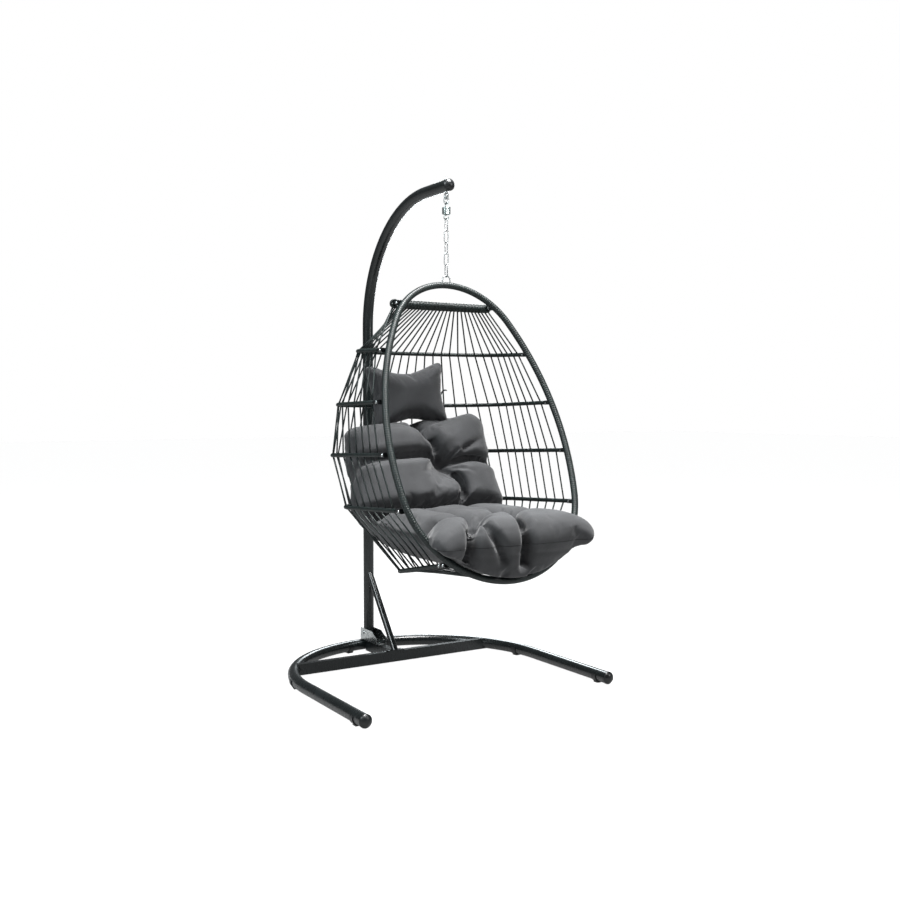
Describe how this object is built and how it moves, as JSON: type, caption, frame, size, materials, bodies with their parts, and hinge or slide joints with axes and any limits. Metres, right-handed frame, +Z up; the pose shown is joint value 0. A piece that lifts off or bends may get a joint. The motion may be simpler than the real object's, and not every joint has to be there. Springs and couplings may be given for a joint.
{
  "type": "hanging egg chair",
  "caption": "Garden seat: a corded egg-shaped basket with a tufted cushion and a head pillow hangs by spring and chain from a curved mast on a U-shaped floor stand.",
  "frame": {"origin": "on the floor, under the middle of the whole chair's plan box", "axes": "+Z up; the sitter faces -Y, with the mast at +Y; X runs across the seat, +X to the sitter's left"},
  "size_m": [1.1116, 1.1955, 1.9612],
  "materials": {
    "black_powder_coat": "semi-gloss powder coat",
    "zinc_plated_steel": "bright zinc plate",
    "spring_steel": "zinc-plated wire",
    "wicker_wrap": "wound flat wicker strip, satin",
    "lacing_cord": "round wicker cord, satin",
    "black_plastic": "moulded, semi-gloss",
    "cushion_cloth": "smooth woven polyester",
    "pillow_cloth": "smooth woven polyester",
    "webbing": "flat webbing"
  },
  "bodies": {
    "stand": {"base_arc": "black_powder_coat", "left_leg": "black_powder_coat", "right_leg": "black_powder_coat", "leg_end_caps": "black_plastic", "floor_feet": "black_plastic", "base_crossbar": "black_powder_coat", "base_spine": "black_powder_coat", "mast_lower": "black_powder_coat", "mast_upper": "black_powder_coat", "mast_joint_screw": "zinc_plated_steel", "mast_bracket": "zinc_plated_steel", "bracket_bolts": "zinc_plated_steel", "bracket_nut": "zinc_plated_steel", "mast_strut": "black_powder_coat", "strut_plate": "black_powder_coat", "strut_screws": "zinc_plated_steel", "arm_end_cap": "black_plastic", "eye_bolt": "zinc_plated_steel", "eye_washer": "zinc_plated_steel", "eye_nut": "zinc_plated_steel"},
    "hook": {"top_hook": "zinc_plated_steel"},
    "spring": {"extension_spring": "spring_steel"},
    "link_1": {"chain_link_1": "zinc_plated_steel"},
    "link_2": {"chain_link_2": "zinc_plated_steel"},
    "link_3": {"chain_link_3": "zinc_plated_steel"},
    "link_4": {"chain_link_4": "zinc_plated_steel"},
    "link_5": {"chain_link_5": "zinc_plated_steel"},
    "basket": {"floor_hoop": "black_powder_coat", "front_ring": "black_powder_coat", "head_pillow": "pillow_cloth", "hoop_bolts": "zinc_plated_steel", "hoop_nuts": "zinc_plated_steel", "hoop_sleeves": "black_plastic", "hoop_wraps": "wicker_wrap", "lacing_floor": "lacing_cord", "lacing_floor_hoop": "lacing_cord", "lacing_middle_hoop": "lacing_cord", "lacing_seat_hoop": "lacing_cord", "lacing_shoulder_hoop": "lacing_cord", "lacing_upper_hoop": "lacing_cord", "middle_hoop": "black_powder_coat", "pillow_straps": "webbing", "ring_wrap": "wicker_wrap", "seat_cushion": "cushion_cloth", "seat_hoop": "black_powder_coat", "shackle": "zinc_plated_steel", "shoulder_hoop": "black_powder_coat", "top_bar": "black_powder_coat", "upper_hoop": "black_powder_coat"}
  },
  "joints": [
    {"name": "hang_swing", "type": "hinge", "parent": "stand", "child": "hook", "pos_m": [0, -0.10575, 1.889], "axis": [1, 0, 0], "range_deg": [-8, 8]},
    {"name": "hang_sway", "type": "hinge", "parent": "hook", "child": "spring", "pos_m": [0, -0.10575, 1.8678], "axis": [0, 1, 0], "range_deg": [-8, 8]},
    {"name": "spring_bounce", "type": "slide", "parent": "spring", "child": "link_1", "axis": [0, 0, -1], "range_m": [0, 0.035], "stiffness_N_per_m": 18000, "springref_m": -0.025, "deforming": ["extension_spring"]},
    {"name": "chain_twist", "type": "hinge", "parent": "link_1", "child": "link_5", "pos_m": [0, -0.10575, 1.628], "axis": [0, 0, 1], "range_deg": [-90, 90]},
    {"name": "link_2_twist", "type": "hinge", "parent": "link_1", "child": "link_2", "pos_m": [0, -0.10575, 1.7591], "axis": [0, 0, 1], "range_deg": [-22.5, 22.5]},
    {"name": "link_3_twist", "type": "hinge", "parent": "link_1", "child": "link_3", "pos_m": [0, -0.10575, 1.7154], "axis": [0, 0, 1], "range_deg": [-45, 45]},
    {"name": "link_4_twist", "type": "hinge", "parent": "link_1", "child": "link_4", "pos_m": [0, -0.10575, 1.6717], "axis": [0, 0, 1], "range_deg": [-67.5, 67.5]},
    {"name": "basket_rock", "type": "hinge", "parent": "link_5", "child": "basket", "pos_m": [0, -0.10575, 1.5885], "axis": [1, 0, 0], "range_deg": [-5, 5]}
  ],
  "couplings": [
    {"joint": "link_2_twist", "follows": "chain_twist", "ratio": 0.25},
    {"joint": "link_3_twist", "follows": "chain_twist", "ratio": 0.5},
    {"joint": "link_4_twist", "follows": "chain_twist", "ratio": 0.75}
  ]
}
